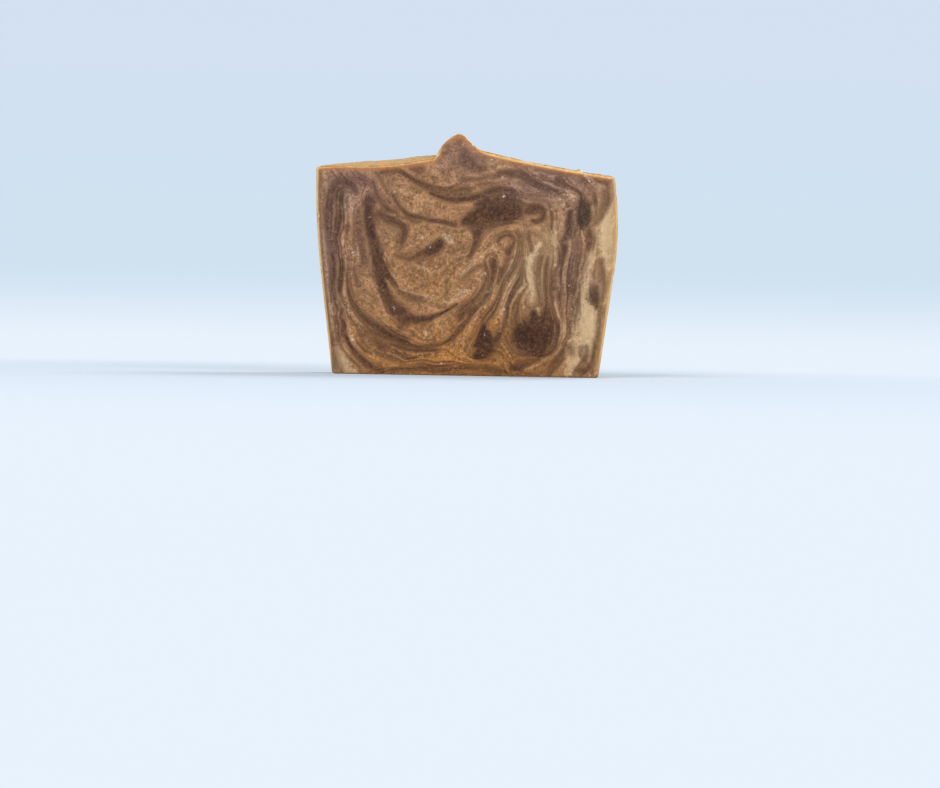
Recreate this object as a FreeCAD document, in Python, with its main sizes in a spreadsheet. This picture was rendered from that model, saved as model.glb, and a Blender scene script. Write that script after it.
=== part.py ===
import FreeCAD, Part
import math
import os
import Sketcher

# A bar of handmade soap, one casting cut from a loaf and stood on its base.
#
# The loaf was poured into a mould with tapering walls that bulge near the top.
# Its open top was spooned up into a crest that runs along the loaf, with a swell
# on one side and a hollow on the other. A wire cut the bar off the loaf, and the
# edges of both cut faces were rubbed round.
#
# X runs across the loaf, Y along it, from the front cut face to the back one, and
# Z up. The origin is at the middle of the base.

NODE = "soap_bar"

# Driving dimensions: name, size in millimetres (tapers in degrees) and meaning.
SIZES = [
    ("bar_thickness", 25.0, "from cut face to cut face"),
    ("half_width", 45.6, "from the middle to the widest place of either wall"),
    ("taper_left", 7.1, "slope of the lower wall on the left"),
    ("taper_right", 7.5, "slope of the lower wall on the right"),
    ("bulge_radius_left", 242.0, "of the upper wall on the left"),
    ("bulge_radius_right", 95.0, "of the upper wall on the right"),
    ("widest_height_left", 60.0, "height of the widest place on the left"),
    ("widest_height_right", 44.5, "height of the widest place on the right"),
    ("base_round_left", 2.4, "radius of the mould's corner on the left"),
    ("base_round_right", 1.7, "radius of the mould's corner on the right"),
    ("cut_round", 0.7, "radius of the rubbed edges of both cut faces"),
    ("rim_softness_left", 0.25, "how much rounder than that the left rim is"),
    ("rim_softness_right", 0.5, "how much rounder than that the right rim is"),
    ("headroom", 3.0, "from the crest up to the flat top of the block before spooning"),
    ("overrun", 1.0, "how far the spooned hollow's sections run past that block"),
    ("rim_height", 60.5, "top line at the right wall"),
    ("rim_step", 1.5, "how much higher the top line is at the left wall"),
    ("brow_inset", 7.6, "from the widest place of the left wall to the brow's pole"),
    ("brow_rise", 0.9, "from the left rim up to that pole"),
    ("saddle_reach", 22.9, "from the crest to the pole of the saddle on its left"),
    ("saddle_rise", 0.2, "from the left rim up to that pole"),
    ("ramp_reach", 11.9, "from the crest to the pole of the ramp up to it"),
    ("ramp_rise", 2.4, "from the left rim up to that pole"),
    ("foot_reach_left", 6.6, "from the crest to the pole of its left foot"),
    ("foot_rise_left", 2.9, "from the left rim up to that pole"),
    ("flank_reach_left", 5.6, "from the crest to the pole of its left flank"),
    ("flank_drop_left", 4.4, "from the crest down to that pole"),
    ("crest_place", -3.1, "where the crest stands across the front face"),
    ("crest_rise", 5.0, "from the pole of the right foot up to the crest"),
    ("tip_half_width", 1.7, "half the width of the crest's blunt tip"),
    ("tip_lean", 0.4, "rise of the tip's right side, and fall of its left"),
    ("flank_reach_right", 4.1, "from the crest to the pole of its right flank"),
    ("flank_drop_right", 3.3, "from the crest down to that pole"),
    ("foot_reach_right", 7.1, "from the crest to the pole of its right foot"),
    ("foot_rise_right", 7.3, "from the right rim up to that pole"),
    ("slope_sag", 0.55, "sag of the right slope below a straight line"),
]

# How the top changes along the loaf: the station, its share of the bar's thickness from
# the middle, its swell on the left and on the right, and the crest's lift and drift.
STATIONS = [
    ("front", -0.50, 0.0, 0.0, 0.0, 0.0),
    ("fore", -0.25, 1.6, -0.7, 0.3, 0.4),
    ("middle", 0.00, 3.4, -1.2, 0.2, 1.1),
    ("rear", 0.25, 4.6, -0.6, -0.2, 1.9),
    ("back", 0.50, 5.0, 0.7, -0.7, 2.9),
]

# How much of a swell on the left, or on the right, each place of the top line takes.
LEFT_SHARES = {"rim": 0.58, "brow": 0.7, "saddle": 1.0, "ramp": 0.95, "foot": 0.85, "flank": 0.3}
RIGHT_SHARES = {"foot": 0.5, "slope": 1.0, "rim": 0.6}

# How much of the crest's lift its flanks take.
FLANK_SHARE = 0.6

# Shares of the right slope, from the crest's foot to the rim, at which it has a pole.
SLOPE_STEPS = (0.21, 0.51, 0.80)

SPLINE_DEGREE = 3

# The crest, the block's flat top before spooning, and the lid of the spooned hollow.
CREST_HEIGHT = "sizes.rim_height + sizes.foot_rise_right + sizes.crest_rise"
BLOCK_TOP = f"{CREST_HEIGHT} + sizes.headroom"
LID_HEIGHT = f"{BLOCK_TOP} + sizes.overrun"

# How near two places are, in millimetres, to be the same.
NEAR = 1e-4

# A sketch's numbers for its points and its axes.
START, END, CENTRE = range(1, 4)
GROUND = -1
ORIGIN = (GROUND, START)


def make_sheet(doc):
    """The sheet of driving dimensions, one row each: name, size, meaning."""
    rows = list(SIZES)
    for name, _share, left, right, lift, drift in STATIONS:
        rows += [
            (f"{name}_swell_left", left, f"rise of the left slope at the {name} station"),
            (f"{name}_swell_right", right, f"rise of the right slope at the {name} station"),
            (f"{name}_crest_lift", lift, f"lift of the crest at the {name} station"),
            (f"{name}_crest_drift", drift, f"drift of the crest at the {name} station"),
        ]
    sheet = doc.addObject("Spreadsheet::Sheet", "sizes")
    for row, (name, size, meaning) in enumerate(rows, start=1):
        sheet.set(f"A{row}", name)
        sheet.set(f"B{row}", str(size))
        sheet.set(f"C{row}", meaning)
        sheet.setAlias(f"B{row}", name)
    doc.recompute()
    return sheet


def sketch_across(body, name):
    """An empty sketch on the plane that stands across the loaf."""
    across = next(f for f in body.Origin.OriginFeatures if f.Role == "XZ_Plane")
    sketch = body.newObject("Sketcher::SketchObject", name)
    sketch.AttachmentSupport = (across, "")
    sketch.MapMode = "FlatFace"
    return sketch


def worked_out(doc, expression):
    """An expression's present value, in millimetres or degrees."""
    return float(doc.sizes.evalExpression(expression))


def dimension(sketch, kind, points, expression):
    """Adds a dimension at its present value and ties it to the sheet."""
    value = worked_out(sketch.Document, expression)
    if kind == "Angle":
        value = math.radians(value)
    index = sketch.addConstraint(Sketcher.Constraint(kind, *points, value))
    sketch.setExpression(f"Constraints[{index}]", expression)


def place_point(sketch, point, across, up):
    """Fixes a sketch point's place across the loaf and its height."""
    dimension(sketch, "DistanceX", (*ORIGIN, *point), across)
    dimension(sketch, "DistanceY", (*ORIGIN, *point), up)


def line(sketch, start, end):
    """Adds a straight line between two (across, up) points."""
    segment = Part.LineSegment(FreeCAD.Vector(*start, 0), FreeCAD.Vector(*end, 0))
    return sketch.addGeometry(segment, False)


def join(sketch, *points):
    """Makes two line ends one point."""
    sketch.addConstraint(Sketcher.Constraint("Coincident", *points))


def draw_wall(sketch, side):
    """A wall's straight lower part and the bulge above it, and the wall's two free ends."""
    doc = sketch.Document
    outward = 1 if side == "right" else -1
    radius = worked_out(doc, f"sizes.bulge_radius_{side}")
    widest = worked_out(doc, f"sizes.widest_height_{side}")
    taper = math.radians(worked_out(doc, f"sizes.taper_{side}"))
    centre_across = worked_out(doc, "sizes.half_width") - radius
    top_angle = math.asin((worked_out(doc, BLOCK_TOP) - widest) / radius)
    tangent_across = centre_across + radius * math.cos(taper)
    tangent_up = widest - radius * math.sin(taper)
    foot_across = tangent_across - tangent_up * math.tan(taper)
    foot = (outward * foot_across, 0)
    tangent_point = (outward * tangent_across, tangent_up)
    straight = line(sketch, foot, tangent_point)
    centre = FreeCAD.Vector(outward * centre_across, widest, 0)
    circle = Part.Circle(centre, FreeCAD.Vector(0, 0, 1), radius)
    if side == "right":
        arc = Part.ArcOfCircle(circle, -taper, top_angle)
        low_end, high_end = START, END
    else:
        arc = Part.ArcOfCircle(circle, math.pi - top_angle, math.pi + taper)
        low_end, high_end = END, START
    bulge = sketch.addGeometry(arc, False)
    sketch.addConstraint(Sketcher.Constraint("Tangent", straight, END, bulge, low_end))
    sketch.addConstraint(Sketcher.Constraint("PointOnObject", straight, START, GROUND))
    dimension(sketch, "Radius", (bulge,), f"sizes.bulge_radius_{side}")
    reach = f"(sizes.half_width - sizes.bulge_radius_{side}) * ({outward})"
    place_point(sketch, (bulge, CENTRE), reach, f"sizes.widest_height_{side}")
    dimension(sketch, "Angle", (straight,), f"90 deg - ({outward}) * sizes.taper_{side} * 1 deg")
    return (straight, START), (bulge, high_end), foot, high_point(arc, high_end)


def high_point(arc, end):
    """The (across, up) place of one end of an arc."""
    point = arc.StartPoint if end == START else arc.EndPoint
    return point.x, point.y


def make_block(body):
    """The loaf between both cuts, with a flat top that stands above the crest."""
    sketch = sketch_across(body, "mould_section")
    foot_left, rim_left, foot_left_at, rim_left_at = draw_wall(sketch, "left")
    foot_right, rim_right, foot_right_at, rim_right_at = draw_wall(sketch, "right")
    base = line(sketch, foot_left_at, foot_right_at)
    join(sketch, base, START, *foot_left)
    join(sketch, base, END, *foot_right)
    top = line(sketch, rim_left_at, rim_right_at)
    join(sketch, top, START, *rim_left)
    join(sketch, top, END, *rim_right)
    sketch.addConstraint(Sketcher.Constraint("Horizontal", top))
    dimension(sketch, "DistanceY", (*ORIGIN, top, START), BLOCK_TOP)
    block = body.newObject("PartDesign::Pad", "block")
    block.Profile = sketch
    block.Midplane = True
    block.setExpression("Length", "sizes.bar_thickness")
    body.Document.recompute()


def top_line_poles(station):
    """Place and height of each pole of the spooned top at a station, left to right."""
    lift = f"sizes.{station}_crest_lift"
    left = {place: f"{share} * sizes.{station}_swell_left" for place, share in LEFT_SHARES.items()}
    right = {place: f"{share} * sizes.{station}_swell_right" for place, share in RIGHT_SHARES.items()}
    crest = f"sizes.crest_place + sizes.{station}_crest_drift"
    left_rim = "sizes.rim_height + sizes.rim_step"
    right_foot = "sizes.rim_height + sizes.foot_rise_right"
    crest_top = f"{CREST_HEIGHT} + {lift}"
    flank_top = f"{CREST_HEIGHT} + {FLANK_SHARE} * {lift}"

    poles = [
        ("-sizes.half_width - sizes.overrun", f"{left_rim} + {left['rim']}"),
        ("sizes.brow_inset - sizes.half_width", f"{left_rim} + sizes.brow_rise + {left['brow']}"),
        ("sizes.crest_place - sizes.saddle_reach", f"{left_rim} + sizes.saddle_rise + {left['saddle']}"),
        (f"{crest} - sizes.ramp_reach", f"{left_rim} + sizes.ramp_rise + {left['ramp']}"),
        (f"{crest} - sizes.foot_reach_left", f"{left_rim} + sizes.foot_rise_left + {left['foot']}"),
        (f"{crest} - sizes.flank_reach_left", f"{flank_top} - sizes.flank_drop_left + {left['flank']}"),
        (f"{crest} - sizes.tip_half_width", f"{crest_top} - sizes.tip_lean"),
        (f"{crest} + sizes.tip_half_width", f"{crest_top} + sizes.tip_lean"),
        (f"{crest} + sizes.flank_reach_right", f"{flank_top} - sizes.flank_drop_right"),
        (f"{crest} + sizes.foot_reach_right", f"{right_foot} + {right['foot']}"),
    ]

    # The right slope sags from a straight line as a parabola does, most at its middle.
    foot_across = f"({crest} + sizes.foot_reach_right)"
    rim_across = "(sizes.half_width + sizes.overrun)"
    for down in SLOPE_STEPS:
        up = round(1 - down, 2)
        straight = f"sizes.rim_height + {up} * sizes.foot_rise_right"
        sag = f"4 * {up} * {down} * sizes.slope_sag"
        poles.append((
            f"{up} * {foot_across} + {down} * {rim_across}",
            f"{straight} - {sag} + {right['slope']}",
        ))
    poles.append((rim_across, f"sizes.rim_height + {right['rim']}"))
    return poles


def draw_spline(sketch, poles):
    """A cubic curve whose poles are all tied to the sheet, and its two ends."""
    doc = sketch.Document
    drawn = [FreeCAD.Vector(worked_out(doc, across), worked_out(doc, up), 0) for across, up in poles]
    spans = len(poles) - SPLINE_DEGREE
    multiplicities = [SPLINE_DEGREE + 1] + [1] * (spans - 1) + [SPLINE_DEGREE + 1]
    knots = [float(index) for index in range(spans + 1)]
    weights = [1.0] * len(poles)
    curve = Part.BSplineCurve(drawn, multiplicities, knots, False, SPLINE_DEGREE, weights)
    spline = sketch.addGeometry(curve, False)
    sketch.exposeInternalGeometry(spline)
    for index, (across, up) in enumerate(poles, start=1):
        place_point(sketch, (spline + index, CENTRE), across, up)
    return spline, drawn[0], drawn[-1]


def make_station(body, station, share):
    """One section of the air above the spooned top."""
    sketch = sketch_across(body, f"top_at_{station}")
    sketch.setExpression("AttachmentOffset.Base.z", f"sizes.bar_thickness * {-share}")
    spline, left_end, right_end = draw_spline(sketch, top_line_poles(station))
    lid_up = worked_out(body.Document, LID_HEIGHT)
    right_side = line(sketch, (right_end.x, right_end.y), (right_end.x, lid_up))
    lid = line(sketch, (right_end.x, lid_up), (left_end.x, lid_up))
    left_side = line(sketch, (left_end.x, lid_up), (left_end.x, left_end.y))
    join(sketch, spline, END, right_side, START)
    join(sketch, right_side, END, lid, START)
    join(sketch, lid, END, left_side, START)
    join(sketch, left_side, END, spline, START)
    sketch.addConstraint(Sketcher.Constraint("Vertical", right_side))
    sketch.addConstraint(Sketcher.Constraint("Vertical", left_side))
    sketch.addConstraint(Sketcher.Constraint("Horizontal", lid))
    dimension(sketch, "DistanceY", (*ORIGIN, lid, START), LID_HEIGHT)
    return sketch


def spoon_top(body):
    """Takes away the soap above the spooned top."""
    sections = [make_station(body, name, share) for name, share, *_changes in STATIONS]
    body.Document.recompute()
    hollow = body.newObject("PartDesign::SubtractiveLoft", "spooned_top")
    hollow.Profile = sections[0]
    hollow.Sections = sections[1:]
    body.Document.recompute()


def round_edges(body, name, edges, radius):
    """Rounds edges of the body so far, given by their numbers."""
    base = body.Tip
    fillet = body.newObject("PartDesign::Fillet", name)
    fillet.Base = (base, [f"Edge{number}" for number in edges])
    fillet.setExpression("Radius", radius)
    body.Document.recompute()


def edges_along(body, outward):
    """Numbers of the edges that run from cut to cut on one side, from the lowest up."""
    thickness = worked_out(body.Document, "sizes.bar_thickness")
    found = []
    for number, edge in enumerate(body.Tip.Shape.Edges, start=1):
        box = edge.BoundBox
        if box.YLength > thickness - NEAR and box.Center.x * outward > 0:
            found.append((box.Center.z, number))
    return [number for _height, number in sorted(found)]


def edges_of_cuts(body):
    """Numbers of the edges of both cut faces."""
    half_thickness = worked_out(body.Document, "sizes.bar_thickness / 2")
    return [
        number
        for number, edge in enumerate(body.Tip.Shape.Edges, start=1)
        if edge.BoundBox.YLength < NEAR and abs(edge.BoundBox.Center.y) > half_thickness - NEAR
    ]


def make_bar(doc):
    """The whole bar, in the order in which it was made."""
    body = doc.addObject("PartDesign::Body", NODE)
    body.Label = NODE
    body.Placement = FreeCAD.Placement()
    make_block(body)
    spoon_top(body)
    for side, outward in (("left", -1), ("right", 1)):
        lowest, *_others = edges_along(body, outward)
        round_edges(body, f"base_corner_{side}", [lowest], f"sizes.base_round_{side}")
        *_others, highest = edges_along(body, outward)
        round_edges(body, f"rim_{side}", [highest], f"sizes.cut_round + sizes.rim_softness_{side}")
    round_edges(body, "rubbed_edges", edges_of_cuts(body), "sizes.cut_round")
    return body


def check(doc, body):
    """Stops before anything is written if a feature failed or the solid is unsound."""
    failed = [obj.Name for obj in doc.Objects if {"Invalid", "Error"} & set(obj.State)]
    if failed:
        raise RuntimeError(f"these objects failed: {failed}")
    if body.Shape.isNull() or not body.Shape.isValid() or len(body.Shape.Solids) != 1:
        raise RuntimeError(f"{body.Label} is not one valid solid")


def main():
    doc = FreeCAD.newDocument("soap")
    make_sheet(doc)
    body = make_bar(doc)
    check(doc, body)
    os.makedirs("parts", exist_ok=True)
    body.Shape.exportStep(f"parts/{body.Label}.step")
    box = body.Shape.optimalBoundingBox()
    print(f"{body.Label}: {box.XLength:.2f} x {box.YLength:.2f} x {box.ZLength:.2f} mm,")
    print(f"volume {body.Shape.Volume / 1000:.1f} cm3, {len(body.Shape.Faces)} faces")


main()
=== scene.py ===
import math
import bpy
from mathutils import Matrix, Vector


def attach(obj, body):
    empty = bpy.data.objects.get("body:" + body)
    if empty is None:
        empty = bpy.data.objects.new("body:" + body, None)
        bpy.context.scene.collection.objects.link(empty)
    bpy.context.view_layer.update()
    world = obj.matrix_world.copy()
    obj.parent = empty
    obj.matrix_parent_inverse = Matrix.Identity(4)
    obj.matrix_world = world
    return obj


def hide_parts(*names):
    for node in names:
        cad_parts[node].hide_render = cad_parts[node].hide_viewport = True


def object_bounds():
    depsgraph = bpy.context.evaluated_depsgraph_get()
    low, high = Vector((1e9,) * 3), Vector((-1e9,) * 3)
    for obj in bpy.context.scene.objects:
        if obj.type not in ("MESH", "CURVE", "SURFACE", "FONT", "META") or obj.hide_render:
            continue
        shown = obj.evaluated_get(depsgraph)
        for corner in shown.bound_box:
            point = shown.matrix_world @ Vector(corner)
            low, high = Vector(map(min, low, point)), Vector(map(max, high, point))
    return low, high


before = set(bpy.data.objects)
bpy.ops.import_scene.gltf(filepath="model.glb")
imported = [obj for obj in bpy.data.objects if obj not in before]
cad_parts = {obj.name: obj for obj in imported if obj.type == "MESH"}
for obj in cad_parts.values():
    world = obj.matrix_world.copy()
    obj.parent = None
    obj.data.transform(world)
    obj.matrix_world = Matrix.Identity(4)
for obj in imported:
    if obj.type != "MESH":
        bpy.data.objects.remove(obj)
cad_low, cad_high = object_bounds()

# A bar of cold-process soap, cut by hand from a loaf and standing on its base. Its two cut faces show the
# marbled swirl of the poured batter, its sides took their smooth skin from the mould, and its spooned top
# carries a dusting of gold mica.

from types import SimpleNamespace

import bmesh
import bpy
import numpy as np
from mathutils import Matrix, Vector, noise
from mathutils.bvhtree import BVHTree

MM = 0.001
TINY = 1e-6             # keeps divisions and logarithms off zero

# Mesh of the bar
COARSE_CELL = 0.70 * MM  # spacing of the skin away from the cut that is looked at
FAIR_PASSES = 3         # rounds that even out the mesh on the bar's own surface
RIM_BAND = 1.6          # mm beside the front cut that is as finely meshed
HALF_THICKNESS = round(cad_high[1] / MM, 3)  # mm from the middle of the bar to either cut face
FRONT = -HALF_THICKNESS
BACK = HALF_THICKNESS

# Relief, in mm
WIRE_DRAG = 0.05        # faint upright ridges that the cutting wire leaves
RIDGE_SQUEEZE = (1, 1, 0.12)  # shrinks heights for their noise, so that it comes out upright
CUT_GRAIN = 0.035       # unevenness between the ridges
PIT_DEPTH = 0.16
PIT_RARITY = 0.50       # noise level above which the cut face is pitted
PIT_SLOPE = 0.20        # what that level rises by from a pit's edge to its floor
SKIN_WAVE = 0.05        # slow waves of the sides
TOP_GRAIN = 0.14        # fine crumb of the top
TOP_DIMPLE = 0.22       # its broader dimples
RIM_RAGGED = 0.16       # depth of the tears along the rims of the cuts
RAGGED_BAND = (1.4, 0.3)  # how far from a rim they start, and how near they are full
SHOULDER = (56, 58)     # heights between which the walls end and the top begins
SEED_STEP = Vector((31.7, -12.3, 57.1))  # moves one noise away from the next

# Small damage and crumbs on the edges, in mm: where each is, how far it reaches and how far it moves the skin
CHIPS = (
    ((11.8, FRONT, 0.0), 1.9, (0.0, 0.5, 0.9)),
    ((-45.0, FRONT, 47.3), 0.9, (0.35, 0.2, 0.0)),
    ((-43.2, FRONT, 15.9), 0.9, (0.35, 0.2, 0.0)),
    ((-41.9, FRONT, 7.3), 0.8, (0.30, 0.2, 0.0)),
    ((-40.9, FRONT, 2.6), 1.0, (0.35, 0.2, 0.0)),
    ((39.3, FRONT, 3.0), 0.8, (-0.25, 0.2, 0.0)),
    ((-10.2, FRONT, 65.0), 1.0, (0.0, 0.2, -0.25)),
    ((33.4, -12.4, 62.4), 1.0, (0.0, 0.0, 0.5)),
    ((44.9, BACK, 38.0), 1.2, (-0.35, -0.3, 0.0)),
    ((-20.0, BACK, 0.2), 1.5, (0.0, -0.35, 0.6)),
    ((22.0, BACK, 64.0), 1.1, (0.0, -0.3, -0.3)),
    ((-43.9, BACK, 29.0), 0.9, (0.35, -0.3, 0.0)),
)

# Rounded corners at the foot: middle of the round (x, z) in mm, its side (-1 left, 1 right) and the lean
# of the wall above it
FEET = (
    ((-37.88, 2.4), -1, math.radians(7.1)),
    ((39.07, 1.7), 1, math.radians(7.5)),
)
SQUARENESS = 8          # 2 keeps a corner round, and more draws it out into a tighter one

# Swirl, in mm. On its way to the back cut the pattern of the front cut drifts off in slow waves.
DRIFT_X = 3.2           # farthest drift sideways, at the back cut
DRIFT_X_WAVE = 17.0     # height over which its wave turns by one radian
DRIFT_X_START = 0.6     # its turn at the foot, in radians
DRIFT_Z = 2.4           # farthest drift in height, at the back cut
DRIFT_Z_WAVE = 14.0     # width over which its wave turns by one radian
WANDER = 0.25           # how far a line strays from its given points
WANDER_SIZE = 7.0       # size of those bends
LINE_STEPS = 5          # pieces in each smooth stretch between two points
SOFT_EDGE = 0.45        # width over which the thinnest streak runs out into the batter
SOFT_SHARE = 0.40       # what that grows by for each mm of a streak's half width
FAR_OUT = -2.0          # soft edges outside a streak beyond which nothing of it is left
FIRMNESS = 3            # how firmly the nearest of several streaks sets how strong they look
CAST_FADE = 0.8         # how fast a soft area fades towards its reach
FLECK_EDGE = (1.6, 0.4)  # radii between which a fleck grows from nothing to full

# Folds of the batter: a smooth field pinned to each streak's own number, and to these along the two walls
FOLD_AT_LEFT = 0.0
FOLD_AT_RIGHT = 1.6
WALL_X = 46.0           # mm from the middle to where the walls' numbers are pinned
WALL_HEIGHTS = range(0, 65, 8)
FOLD_SLACK = 0.02       # how loosely the field is pinned, so that it stays smooth
FOLD_UNIT = 10          # mm in the unit that the field is worked out in
FOLD_BATCH = 4000       # points worked out at a time

# Warm rind and gold line round the rims of the cuts. The rind is partly a painted glow of light through the
# edge, and the gold line is partly mica and partly a painted highlight. A pair holds the places in mm between
# which one strength runs over into the next.
GOLD_AND_HIGHLIGHT_AT_FOOT = 0.35     # strength of the gold line and its painted highlight at the foot, against 1 higher up
GOLD_AND_HIGHLIGHT_FOOT_Z = (0.5, 9)
GOLD_AND_HIGHLIGHT_AT_RIGHT = 1.7     # the same along the top, right of the crest
GOLD_AND_HIGHLIGHT_RIGHT_X = (0, 6)
GOLD_AND_HIGHLIGHT_ON_CREST = 0.35    # the same on the crest
GOLD_AND_HIGHLIGHT_CREST_Z = (66.5, 69)
WARM_LEFT = 0.12        # strength of the warm rind and its painted glow on the left wall, against 1 under the top
WARM_RIGHT = 0.60       # the same on the right wall
WARM_X = (-5, 20)

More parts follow.
